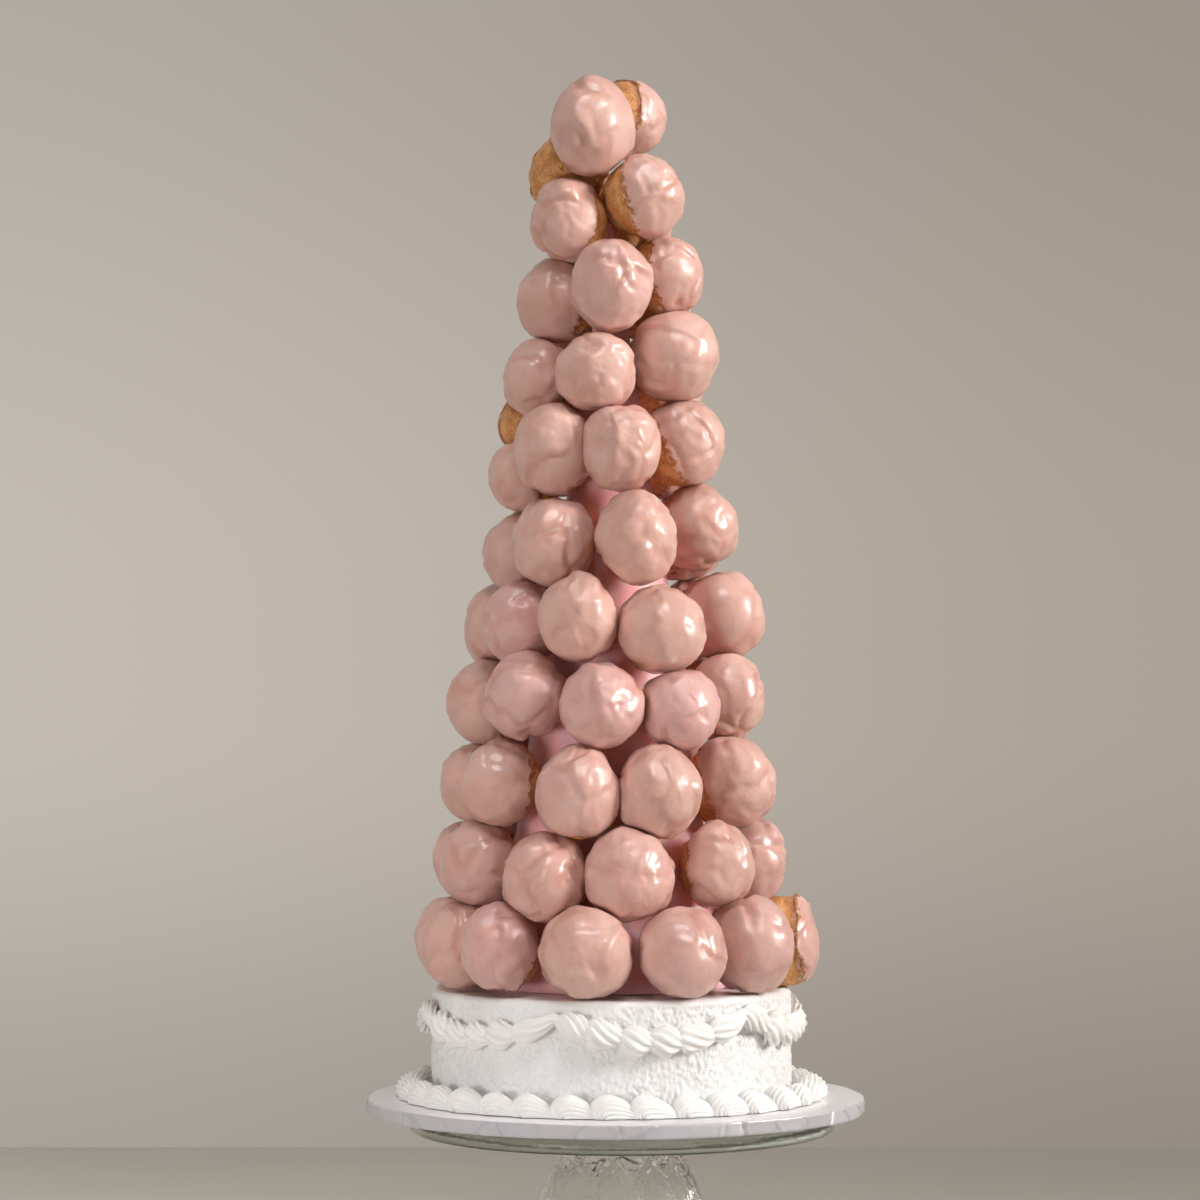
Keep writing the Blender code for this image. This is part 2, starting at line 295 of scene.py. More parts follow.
def makeGlaze():
    finish, tree, shader = newFinish(
        "pinkGlaze", IOR=1.48, Coat_Roughness=0.20, Coat_IOR=1.5,
        Subsurface_Scale=0.008, Subsurface_Weight=0.27, Subsurface_Radius=(1.0, 0.32, 0.20),
    )
    tint = tree.nodes.new("ShaderNodeObjectInfo").outputs["Color"]
    deeper = mixNode(tree, 1.0, tint, (0.93, 0.86, 0.84), "MULTIPLY")
    tone = placeGroup(tree, mottle, Tone_A=tint, Tone_B=deeper,
                      Blotch_Scale=55.0, Fleck_Scale=420.0, Fleck=0.25)
    fold = tree.nodes.new("ShaderNodeAttribute")
    fold.attribute_name = "fold"
    # painted shade in the folds, with the glaze also a little darker where it lies thinner there
    foldShadeAndThinGlaze = mixNode(tree, 1.0, tone.outputs["Color"], (0.93, 0.82, 0.78), "MULTIPLY")
    creased = mixNode(tree, fold.outputs["Fac"], tone.outputs["Color"], foldShadeAndThinGlaze)
    crumbs = lipFlecks(tree, 0.36, 340.0)  # toasted crumbs caught in the edge of the dip
    tree.links.new(mixNode(tree, crumbs, creased, (0.40, 0.17, 0.06)), shader.inputs["Base Color"])
    coat = spreadNode(tree, tone.outputs["Mask"], 0.0, 1.0, 0.25, 0.65)
    tree.links.new(coat, shader.inputs["Coat Weight"])
    addGrain(tree, shader, (170.0, 1500.0, 0.10), (0.30, 0.44), 0.0006, 0.6)
    return finish


def makePastry():
    finish, tree, shader = newFinish("bakedPastry", IOR=1.45, Subsurface_Weight=0.05,
                                     Subsurface_Scale=0.002, Subsurface_Radius=(1.0, 0.5, 0.25))
    tone = placeGroup(tree, mottle, Tone_A=(0.76, 0.40, 0.16), Tone_B=(0.58, 0.24, 0.080),
                      Blotch_Scale=110.0, Fleck_Scale=650.0, Fleck=0.9)
    place = tree.nodes.new("ShaderNodeTexCoord").outputs["Object"]
    speck = noiseNode(tree, place, 380.0, 3.0, 0.65)
    burnt = spreadNode(tree, speck, 0.60, 0.70)
    toasted = mixNode(tree, burnt, tone.outputs["Color"], (0.30, 0.10, 0.03))
    smears = lipFlecks(tree, 0.34, 230.0)  # thin smears of glaze past the edge
    tree.links.new(mixNode(tree, smears, toasted, (0.78, 0.52, 0.42)), shader.inputs["Base Color"])
    addGrain(tree, shader, (260.0, 1300.0, 0.5), (0.45, 0.7), 0.0012, 0.9)
    return finish


def makeConeCover():
    finish, tree, shader = newFinish("pinkConeCover", Roughness=0.5, IOR=1.45, Subsurface_Weight=0.40,
                                     Subsurface_Scale=0.014, Subsurface_Radius=(1.0, 0.25, 0.26))
    # the cone's own pink, made brighter and redder as a painted glow of the light bouncing in the gaps
    # between the puffs
    tone = placeGroup(tree, mottle, Tone_A=(0.97, 0.55, 0.57), Tone_B=(0.96, 0.45, 0.45),
                      Blotch_Scale=45.0, Fleck_Scale=500.0, Fleck=0.2)
    tree.links.new(tone.outputs["Color"], shader.inputs["Base Color"])
    addGrain(tree, shader, (110.0, 900.0, 0.15), (0.42, 0.55), 0.0008, 0.5)
    return finish


def makeIcing():
    finish, tree, shader = newFinish("whiteIcing", IOR=1.5, Subsurface_Weight=0.05,
                                     Subsurface_Scale=0.001, Subsurface_Radius=(1.0, 0.85, 0.75))
    tone = placeGroup(tree, mottle, Tone_A=(0.905, 0.895, 0.885), Tone_B=(0.87, 0.86, 0.85),
                      Blotch_Scale=35.0, Fleck_Scale=600.0, Fleck=0.3)
    tree.links.new(tone.outputs["Color"], shader.inputs["Base Color"])
    addGrain(tree, shader, (820.0, 2000.0, 0.4), (0.24, 0.42), 0.0005, 0.6)
    return finish


def makePiping():
    finish, tree, shader = newFinish("pipedCream", IOR=1.45, Subsurface_Weight=0.08,
                                     Subsurface_Scale=0.002, Subsurface_Radius=(1.0, 0.85, 0.72))
    tone = placeGroup(tree, mottle, Tone_A=(0.905, 0.888, 0.865), Tone_B=(0.88, 0.862, 0.835),
                      Blotch_Scale=50.0, Fleck_Scale=500.0, Fleck=0.2)
    tree.links.new(tone.outputs["Color"], shader.inputs["Base Color"])
    addGrain(tree, shader, (420.0, 1800.0, 0.25), (0.40, 0.55), 0.0003, 0.5)
    return finish


def makeFoil():
    finish, tree, shader = newFinish("paleFoil", IOR=1.5, Metallic=0.30)
    tone = placeGroup(tree, mottle, Tone_A=(0.93, 0.91, 0.935), Tone_B=(0.90, 0.88, 0.905),
                      Blotch_Scale=30.0, Fleck_Scale=400.0, Fleck=0.3)
    paintedSideShadeNode = tree.nodes.new("ShaderNodeAttribute")
    paintedSideShadeNode.attribute_name = "rim"
    paintedSideShade = mixNode(tree, 1.0, tone.outputs["Color"], (0.68, 0.675, 0.69), "MULTIPLY")  # painted shade round the rim, on the board's outer side
    color = mixNode(tree, paintedSideShadeNode.outputs["Fac"], tone.outputs["Color"], paintedSideShade)
    tree.links.new(color, shader.inputs["Base Color"])
    addGrain(tree, shader, (60.0, 1100.0, 0.1), (0.32, 0.42), 0.0003, 0.10)
    return finish


def makeGlass(name, bend, clear, tinted):
    finish, tree, shader = newFinish(name, IOR=bend, Transmission_Weight=1.0, Metallic=0.0,
                                     Coat_Weight=0.8, Coat_Roughness=0.02)
    tone = placeGroup(tree, mottle, Tone_A=clear, Tone_B=tinted,
                      Blotch_Scale=30.0, Fleck_Scale=300.0, Fleck=0.1)
    tree.links.new(tone.outputs["Color"], shader.inputs["Base Color"])
    addGrain(tree, shader, (60.0, 500.0, 0.1), (0.02, 0.06), 0.0005, 0.3)
    return finish


glaze = makeGlaze()
pastry = makePastry()
coneCover = makeConeCover()
icing = makeIcing()
piping = makePiping()
foil = makeFoil()
plateGlass = makeGlass("paleGreenGlass", 1.50, (0.70, 0.765, 0.69), (0.56, 0.64, 0.56))
pedestalGlass = makeGlass("clearPressedGlass", 1.30, (0.975, 0.98, 0.97), (0.955, 0.965, 0.95))
print("finishes made")


# camera, floor and light

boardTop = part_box("cake_board")[1].z
cakeLow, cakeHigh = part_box("cake")

cameraSettings = {
    "distance": 2.14,
    "aboveBoard": 0.237,
    "lens": 104.19,
    "lookUp": 1.80,  # degrees
    "turn": 0.256,  # degrees to the left
}


def makeCamera(settings):
    lens = bpy.data.cameras.new("camera")
    lens.lens = settings["lens"]
    camera = bpy.data.objects.new("camera", lens)
    camera.location = (0.0, -settings["distance"], boardTop + settings["aboveBoard"])
    camera.rotation_euler = (math.radians(90.0 + settings["lookUp"]), 0.0, math.radians(settings["turn"]))
    scene.collection.objects.link(camera)
    scene.camera = camera


studio = {
    "floorBack": 0.91,  # the table's straight far edge
    "floorFront": -1.3,
    "floorHalf": 1.3,
    "floorCorner": 0.35,  # radius of the table's corners
    "cornerSteps": 12,
    "floorTone": (0.60, 0.57, 0.505),
    "wallLeft": (0.55, 0.50, 0.45),
    "wallRight": (0.41, 0.36, 0.31),
    "wallTop": (0.80, 0.795, 0.79),
    "wallStrength": 1.0,
    "roomFront": 0.45,  # how bright the room is behind the camera
    "lowShade": 0.71,  # how bright the wall is low down
}

# each light: azimuth from the front to the right and rise in degrees, height aimed at, distance,
# width, height, power and colour
lights = {
    "keyLight": (74.0, 19.0, 0.60, 2.0, 0.75, 1.2, 4.3, (1.0, 0.98, 0.955)),
    "lowLight": (-34.0, 3.0, 0.15, 1.1, 0.45, 0.25, 3.9, (0.98, 0.98, 1.0)),
    "topLight": (8.0, 60.0, 0.35, 4.4, 1.5, 1.5, 66.0, (0.98, 0.98, 1.0)),
}
keySpread = 38.0  # degrees, narrow enough to stay mostly on the puffs


def makeFloor(settings):
    corner, steps = settings["floorCorner"], settings["cornerSteps"]
    spots = []
    for index, (side, end) in enumerate(((1, 1), (-1, 1), (-1, -1), (1, -1))):
        edge = settings["floorBack"] if end > 0 else -settings["floorFront"]
        centre = (side * (settings["floorHalf"] - corner), end * (edge - corner))
        for step in range(steps + 1):
            turn = math.pi / 2 * (index + step / steps)
            spots.append((centre[0] + corner * math.cos(turn), centre[1] + corner * math.sin(turn), 0.0))
    finish, tree, shader = newFinish("studioFloor", Roughness=0.6)
    deep = tuple(channel * 0.96 for channel in settings["floorTone"])
    tone = placeGroup(tree, mottle, Tone_A=settings["floorTone"], Tone_B=deep, Blotch_Scale=3.0, Fleck=0.1)
    tree.links.new(tone.outputs["Color"], shader.inputs["Base Color"])
    makeMesh("studioFloor", spots, [range(len(spots))], [finish])


def makeWall(settings):
    world = bpy.data.worlds.new("studioWall")
    scene.world = world
    world.use_nodes = True
    tree = world.node_tree
    way = tree.nodes.new("ShaderNodeTexCoord").outputs["Generated"]
    split = tree.nodes.new("ShaderNodeSeparateXYZ")
    tree.links.new(way, split.inputs[0])
    across = spreadNode(tree, split.outputs["X"], -0.2, 0.2)
    wall = mixNode(tree, across, settings["wallLeft"], settings["wallRight"])
    upward = spreadNode(tree, split.outputs["Z"], 0.03, 0.24)
    tone = mixNode(tree, upward, wall, mixNode(tree, 1.0, wall, settings["wallTop"], "MULTIPLY"))
    low = spreadNode(tree, split.outputs["Z"], -0.14, 0.0, settings["lowShade"], 1.0)
    tone = mixNode(tree, 1.0, tone, low, "MULTIPLY")
    behind = spreadNode(tree, split.outputs["Y"], -0.4, 0.4, settings["roomFront"], 1.0)
    tone = mixNode(tree, 1.0, tone, behind, "MULTIPLY")
    background = tree.nodes["Background"]
    background.inputs["Strength"].default_value = settings["wallStrength"]
    tree.links.new(tone, background.inputs["Color"])


def makeLights(plan):
    for name, (azimuth, rise, aim, distance, width, tall, power, color) in plan.items():
        light = bpy.data.lights.new(name, "AREA")
        light.shape = "RECTANGLE"
        light.size = width
        light.size_y = tall
        light.energy = power
        light.color = color
        if name == "keyLight":
            light.spread = math.radians(keySpread)
        turn, lift = math.radians(azimuth), math.radians(rise)
        way = Vector((math.sin(turn) * math.cos(lift), -math.cos(turn) * math.cos(lift), math.sin(lift)))
        lamp = bpy.data.objects.new(name, light)
        lamp.location = Vector((0.0, 0.0, aim)) + way * distance
        lamp.rotation_euler = way.to_track_quat("Z", "Y").to_euler()
        lamp.visible_glossy = name != "lowLight"  # the low one only fills
        scene.collection.objects.link(lamp)


makeCamera(cameraSettings)
makeFloor(studio)
makeWall(studio)
makeLights(lights)
scene.view_settings.view_transform = "Standard"
print("camera, floor and lights placed")


# cream puffs

puffLook = {
    "glazeRings": 28,
    "pastryRings": 8,
    "steps": 84,
    "glazeThickness": 0.0011,
    "lipAngle": 124.0,  # how far the dip reaches round from the top, in degrees
    "lipRagged": 8.0,  # degrees
    "bodyFront": 0.45,  # centre to outer face, as a part of the height
    "bodyBack": 0.50,
    "lobes": 8,
    "foldDepth": 0.070,
    "foldWidth": 0.19,
    "swell": 0.060,  # how much the lobes differ in height
    "undulation": 0.048,
    "plump": 1.04,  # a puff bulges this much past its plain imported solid
    "softness": 0.0006,  # how gently a puff flattens against what it meets
    "coneGap": 0.0006,
    "cakeGap": 0.0004,
    "pressed": 0.0003,  # how far two puffs press into each other
    "bend": 0.30,  # how much the folds wander
    "smallBumps": (0.038, 0.017),
    "pleats": 0.012,
    "dents": 6,
    "crust": (0.012, 0.006),  # roughness of the bare pastry, coarse and fine
    "warmTint": (0.685, 0.434, 0.370),
    "coolTint": (0.68, 0.418, 0.392),
}

# puffs that differ: how many degrees the dip leans (right, up), how far it reaches, its tint
puffTraits = {
    "puff_01_2": {"lean": (0, 12), "reach": 116},
    "puff_01_3": {"lean": (0, -10), "reach": 110, "cool": 0.9},
    "puff_01_6": {"lean": (-4, 14), "reach": 122},
    "puff_01_7": {"lean": (0, 0), "reach": 62},
    "puff_02_3": {"lean": (28, 14), "reach": 100},
    "puff_02_5": {"lean": (6, 6), "reach": 108},
    "puff_02_6": {"lean": (0, -8), "reach": 108},
    "puff_03_2": {"lean": (0, 0), "reach": 106},
    "puff_03_3": {"lean": (0, -26), "reach": 104},
    "puff_03_4": {"lean": (4, 0), "reach": 106},
    "puff_03_5": {"lean": (0, -8), "reach": 110},
    "puff_04_2": {"cool": 0.7},
    "puff_04_3": {"lean": (-16, 10), "reach": 106, "cool": 0.7},
    "puff_04_4": {"cool": 1.0, "folds": 1.6},
    "puff_04_5": {"lean": (-2, -10), "reach": 108},
    "puff_05_2": {"cool": 0.8},
    "puff_05_4": {"lean": (0, 0), "reach": 112},
    "puff_05_5": {"lean": (-6, 4), "reach": 136},
    "puff_06_1": {"lean": (0, 10), "reach": 112},
    "puff_06_3": {"lean": (14, -14), "reach": 104},
    "puff_06_4": {"lean": (-4, 10), "reach": 128},
    "puff_07_1": {"lean": (-60, 20), "reach": 70},
    "puff_07_2": {"lean": (0, 14), "reach": 108},
    "puff_07_5": {"lean": (-2, -18), "reach": 100},
    "puff_08_3": {"lean": (-4, 0), "reach": 138},
    "puff_09_1": {"lean": (0, 8), "reach": 116},
    "puff_09_3": {"lean": (0, 0), "reach": 92},
    "puff_10_1": {"lean": (-60, 0), "reach": 66},
    "puff_10_2": {"lean": (0, 0), "reach": 106},
    "puff_10_3": {"lean": (14, -4), "reach": 97},
    "puff_11_2": {"lean": (-24, 16), "reach": 108},
}

puffsBehind = {  # each row's puffs behind: how many, how far they stand off the cone
    "counts": (5, 4, 4, 4, 3, 3, 2, 2, 2, 1),
    "standOff": (0.009, 0.003, 0.003, 0.006, 0.007, 0.003, 0.004, 0.007, 0.006, 0.006),
    "firstLevel": 0.027,
    "levelStep": 0.050,
    "width": 0.056,
    "tall": 0.055,
    "reachOut": 0.0234,  # the cone's side to a puff's centre
    "leastRing": 0.017,
}

coneLow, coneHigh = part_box("cone")
coneAxis = (coneLow + coneHigh) / 2
coneSpots = nodeSpots("cone")
coneFoot = (coneHigh.x - coneLow.x) / 2
coneTip = coneSpots[coneSpots[:, 2] > coneHigh.z - 0.001]
coneTip = np.hypot(coneTip[:, 0] - coneAxis.x, coneTip[:, 1] - coneAxis.y).max()
coneSlope = math.atan2(coneFoot - coneTip, coneHigh.z - coneLow.z)


def puffFrame(azimuth):
    # outward from the cone's side, aside to the right, and up along the side
    around = np.array([math.sin(azimuth), -math.cos(azimuth), 0.0])
    outward = around * math.cos(coneSlope) + np.array([0.0, 0.0, math.sin(coneSlope)])
    aside = np.array([math.cos(azimuth), math.sin(azimuth), 0.0])
    return aside, outward, np.cross(aside, outward)


def frontPuff(name):
    # reads a puff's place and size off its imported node
    spots = nodeSpots(name)
    middle = (spots.min(axis=0) + spots.max(axis=0)) / 2
    azimuth = math.atan2(middle[0] - coneAxis.x, -(middle[1] - coneAxis.y))
    axes = np.array(puffFrame(azimuth))
    along = spots @ axes.T
    low, high = along.min(axis=0), along.max(axis=0)
    half = (high - low) / 2 * puffLook["plump"]
    centre = (low + high) / 2
    centre[1] = high[1] - 2 * half[2] / puffLook["plump"] * puffLook["bodyFront"]
    return {"name": name, "axes": axes, "centre": centre @ axes, "half": (half[0], half[2]),
            "azimuth": math.degrees(azimuth), "node": name}


def backPuffs(row, shown):
    # evenly round the back, from the last puff on the right to the first on the left
    count = puffsBehind["counts"][row]
    turns = [puff["azimuth"] % 360.0 for puff in shown]
    first = max(turn for turn in turns if turn <= 180.0)
    last = min(turn for turn in turns if turn > 180.0)
    level = puffsBehind["firstLevel"] + puffsBehind["levelStep"] * row
    side = coneFoot - math.tan(coneSlope) * level
    ring = max(side + puffsBehind["reachOut"] + puffsBehind["standOff"][row], puffsBehind["leastRing"])
    found = []
    for index in range(count):
        azimuth = first + (last - first) * (index + 1) / (count + 1)
        axes = np.array(puffFrame(math.radians(azimuth)))
        around = np.array([math.sin(math.radians(azimuth)), -math.cos(math.radians(azimuth)), 0.0])
        centre = around * ring + np.array([coneAxis.x, coneAxis.y, cakeHigh.z + level])
        found.append({
            "name": f"puff_back_{row + 1:02d}_{index + 1}", "axes": axes, "centre": centre,
            "half": (puffsBehind["width"] / 2, puffsBehind["tall"] / 2), "azimuth": azimuth,
            "node": f"puffs_behind_{row // 2 * 2 + 1:02d}_{row // 2 * 2 + 2:02d}",
        })
    return found


def pushFaces(puff, puffs):
    # planes that the puff flattens against: its neighbours, the cone and the cake
    reach = sum(puff["half"]) / 2
    outward = puff["axes"][1]
    foot = np.array([coneAxis.x, coneAxis.y, coneLow.z])
    faces = [(-outward, -(outward @ foot + coneFoot * math.cos(coneSlope)) - puffLook["coneGap"])]
    faces.append((np.array([0.0, 0.0, -1.0]), -cakeHigh.z - puffLook["cakeGap"]))
    for other in puffs:
        way = other["centre"] - puff["centre"]
        apart = np.linalg.norm(way)
        otherReach = sum(other["half"]) / 2
        if other is puff or apart > 1.25 * (reach + otherReach):
            continue
        way = way / apart
        share = (apart ** 2 + reach ** 2 - otherReach ** 2) / (2 * apart)
        faces.append((way, puff["centre"] @ way + share + puffLook["pressed"]))
    return faces


def spreadLobes(dice, count):
    # lobe centres spread over the ball, each the best of a few tries
    chosen = [dice.normal(size=3)]
    chosen[0] /= np.linalg.norm(chosen[0])
    while len(chosen) < count:
        tries = dice.normal(size=(6, 3))
        tries /= np.linalg.norm(tries, axis=1)[:, None]
        gaps = np.min(np.linalg.norm(tries[:, None] - np.array(chosen)[None], axis=2), axis=1)
        chosen.append(tries[gaps.argmax()])
    return np.array(chosen)


def puffRelief(ways, dice, look, folds):
    # radius of the baked body in each direction, and how deep in a fold it is
    seed = int(dice.integers(1, 9000))
    swing = np.stack([latticeNoise(ways * 1.5 + 11 * k, seed + k) for k in range(3)], axis=1)
    swing += 0.35 * np.stack([latticeNoise(ways * 3.6 + 5 * k, seed + 9 + k) for k in range(3)], axis=1)
    bent = ways + look["bend"] * swing
    gaps = np.linalg.norm(bent[:, None] - spreadLobes(dice, look["lobes"])[None], axis=2)
    pull = np.exp(-22.0 * (gaps ** 2 - gaps.min(axis=1)[:, None] ** 2))
    relief = look["swell"] * (pull @ dice.uniform(-1.0, 1.0, look["lobes"])) / pull.sum(axis=1)
    gaps.sort(axis=1)
    between = gaps[:, 1] - gaps[:, 0]
    shown = softStep(latticeNoise(ways * 1.4 + 3.1, seed + 20), -0.30, 0.50)
    fold = shown * np.exp(-(between / look["foldWidth"]) ** 2)
    relief -= look["foldDepth"] * folds * fold
    relief += look["undulation"] * latticeNoise(ways * 1.3 + 2.0, seed + 30)
    large, small = look["smallBumps"]
    relief += large * latticeNoise(bent * 2.9, seed + 31) + small * latticeNoise(bent * 5.4, seed + 32)
    pleat = np.cos(between * 30.0 + 3.0 * swing[:, 0]) * np.exp(-(between / 0.42) ** 2)
    pleatShown = softStep(latticeNoise(ways * 1.7 - 4.0, seed + 41), 0.15, 0.6)
    relief += look["pleats"] * folds * pleat * pleatShown  # small pleats beside a fold
    for _ in range(look["dents"]):
        spot = dice.normal(size=3)
        spot /= np.linalg.norm(spot)
        wide = dice.uniform(0.06, 0.18)
        relief -= dice.uniform(0.004, 0.022) * np.exp(-((ways - spot) ** 2).sum(axis=1) / wide ** 2)
    return 1.0 + relief, fold


def makePuff(puff, puffs, number):
    look = puffLook
    traits = puffTraits.get(puff["name"], {})
    dice = np.random.default_rng(4100 + 17 * number)
    leanRight, leanUp = traits.get("lean", tuple(dice.uniform(-7, 7, size=2)))
    reach = traits.get("reach", look["lipAngle"] + dice.uniform(-4, 8))
    pole = np.array([math.tan(math.radians(min(leanRight, 80))), 1.0, math.tan(math.radians(leanUp))])
    pole /= np.linalg.norm(pole)
    side = np.cross(pole, [0.0, 0.0, 1.0])
    side /= np.linalg.norm(side)
    steps = look["steps"]
    turns = np.arange(steps) * math.tau / steps
    lipSpots = np.stack([np.cos(turns), np.sin(turns), np.full(steps, number * 3.7)], axis=1)
    ragged = wovenNoise(lipSpots * 1.6, 71, 2) + 0.6 * wovenNoise(lipSpots * 6.0, 83, 3)
    lip = np.radians(reach + look["lipRagged"] * ragged)
    # each ring's angle from the top of the dip, and its height in thicknesses of glaze
    shares = np.linspace(0.0, 1.0, look["glazeRings"] + 1)[1:]
    angles = [lip * share for share in shares]
    lifts = [1.0 + 0.35 * math.exp(-((1.0 - share) / 0.05) ** 2) for share in shares]
    for step, lift in ((0.012, 1.1), (0.020, 0.55), (0.022, -0.15)):  # round the lip and down to the pastry
        angles.append(lip + step)
        lifts.append(lift)
    glazeBands = len(angles) - 1
    for share in np.linspace(0.0, 1.0, look["pastryRings"] + 1)[1:-1]:
        angles.append(lip + 0.04 + (math.pi - lip - 0.04) * share ** 1.1)
        lifts.append(0.0)
    angles, lifts = np.array(angles), np.array(lifts)
    ways = (np.cos(angles)[..., None] * pole
            + (np.sin(angles) * np.cos(turns))[..., None] * side
            + (np.sin(angles) * np.sin(turns))[..., None] * np.cross(pole, side))
    ways = np.concatenate([ways.reshape(-1, 3), [pole, -pole]])
    lifts = np.concatenate([np.repeat(lifts, steps), [1.0, 0.0]])
    relief, fold = puffRelief(ways, dice, look, traits.get("folds", dice.uniform(0.35, 1.15)))
    coarse, fine = look["crust"]
    crust = coarse * (1.0 - 2.0 * np.abs(latticeNoise(ways * 7.0, 900 + number)))
    crust += fine * wovenNoise(ways * 16, 7, 2)
    bare = lifts <= 0.0
    fold = np.where(bare, 0.0, fold)
    relief = np.where(bare, relief + crust, relief)
    halfWide, halfTall = puff["half"]
    depth = np.where(ways[:, 1] > 0, look["bodyFront"], look["bodyBack"]) * 2 * halfTall
    sizes = np.stack([np.full(len(ways), halfWide), depth, np.full(len(ways), halfTall)], axis=1)
    thick = look["glazeThickness"]
    local = ways * ((sizes - thick) * relief[:, None] + thick * lifts[:, None])
    for axis, half in ((0, halfWide), (2, halfTall)):  # exactly as wide and tall as planned
        low, high = local[:, axis].min(), local[:, axis].max()
        local[:, axis] = (local[:, axis] - (low + high) / 2) * 2 * half / (high - low)
    spots = puff["centre"] + local @ puff["axes"]
    soft = look["softness"]
    for way, limit in pushFaces(puff, puffs):
        beyond = (spots @ way - limit) / soft
        held = -soft * np.logaddexp(0.0, -beyond)
        spots += (held - beyond * soft)[:, None] * way
    count = len(angles)
    faces = [face[::-1] for face in closedFaces(count, steps)]
    pastryBands = count - 1 - glazeBands
    picks = np.repeat([0, 1, 0, 1], [glazeBands * steps, pastryBands * steps, steps, steps])
    piece = makeMesh(puff["name"] + "_dipped", spots, faces, [glaze, pastry], picks)
    nearLip = np.exp(-((angles - lip) / 0.11) ** 2).reshape(-1)
    # how deep in a fold each corner is; the glaze finish darkens the folds from this with painted shade
    markPiece(piece, "fold", fold)
    markPiece(piece, "lip", np.concatenate([nearLip, [0.0, 0.0]]))
    cool = traits.get("cool", max(0.0, dice.uniform(-0.6, 0.45)))
    tone = np.array(look["warmTint"]) * (1 - cool) + np.array(look["coolTint"]) * cool
    tone *= dice.uniform(0.97, 1.02)
    piece.color = (*tone.tolist(), 1.0)
    settle(piece, puff["node"])


def buildPuffs():
    shown = {}
    for name in sorted(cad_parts):
        if name.startswith("puff_"):
            shown.setdefault(int(name.split("_")[1]), []).append(frontPuff(name))
    puffs = [puff for row in sorted(shown) for puff in shown[row]]
    for row in range(len(puffsBehind["counts"])):
        puffs += backPuffs(row, shown[row + 1])
    for number, puff in enumerate(puffs):
        makePuff(puff, puffs, number)
    print(len(puffs), "puffs made")


buildPuffs()


# cone under the puffs

coneLook = {
    "steps": 96,
    "rows": 80,
    "ripple": 0.0011,  # how uneven the spread cover is
    "seam": 0.0006,
}


def makeCone(look):
    steps, rows = look["steps"], look["rows"]
    turns = np.arange(steps) * math.tau / steps
    levels = np.linspace(0.0, 1.0, rows)
    turn, level = np.meshgrid(turns, levels)
    radius = coneFoot + (coneTip - coneFoot) * level
    height = coneLow.z + (coneHigh.z - coneLow.z) * level
    spots = np.stack([radius * np.cos(turn), radius * np.sin(turn), height], axis=-1).reshape(-1, 3)
    swell = wovenNoise(spots * 38.0, 311, 3) * look["ripple"]
    stroke = latticeNoise(spots * np.array([30.0, 30.0, 240.0]), 317) * look["seam"]
    fade = softStep(levels, 0.0, 0.02)[:, None].repeat(steps, axis=1).reshape(-1)
    outward = spots.copy()
    outward[:, 2] = 0.0
    outward /= np.linalg.norm(outward, axis=1)[:, None]
    spots += outward * ((swell + stroke) * fade - look["ripple"])[:, None]
    spots += np.array([coneAxis.x, coneAxis.y, 0.0])
    ends = [[coneAxis.x, coneAxis.y, coneLow.z], [coneAxis.x, coneAxis.y, coneHigh.z]]
    spots = np.concatenate([spots, ends])
    piece = makeMesh("cone_cover", spots, closedFaces(rows, steps), [coneCover])
    settle(piece, "cone")
    print("cone made")


makeCone(coneLook)


# iced cake

cakeLook = {
    "steps": 900,
    "wallRows": 68,
    "edge": 0.0045,  # rounding of the top edge
    "topRings": (0.93, 0.90, 0.86, 0.8, 0.7, 0.5, 0.25),  # shares of the radius
    "pebble": 0.00140,  # height of the stippled bumps
    "pebbleSize": (0.0016, 0.0020),  # across, up
    "wave": 0.0008,
}

cakeAxis = (cakeLow + cakeHigh) / 2
cakeRadius = (cakeHigh.x - cakeLow.x) / 2


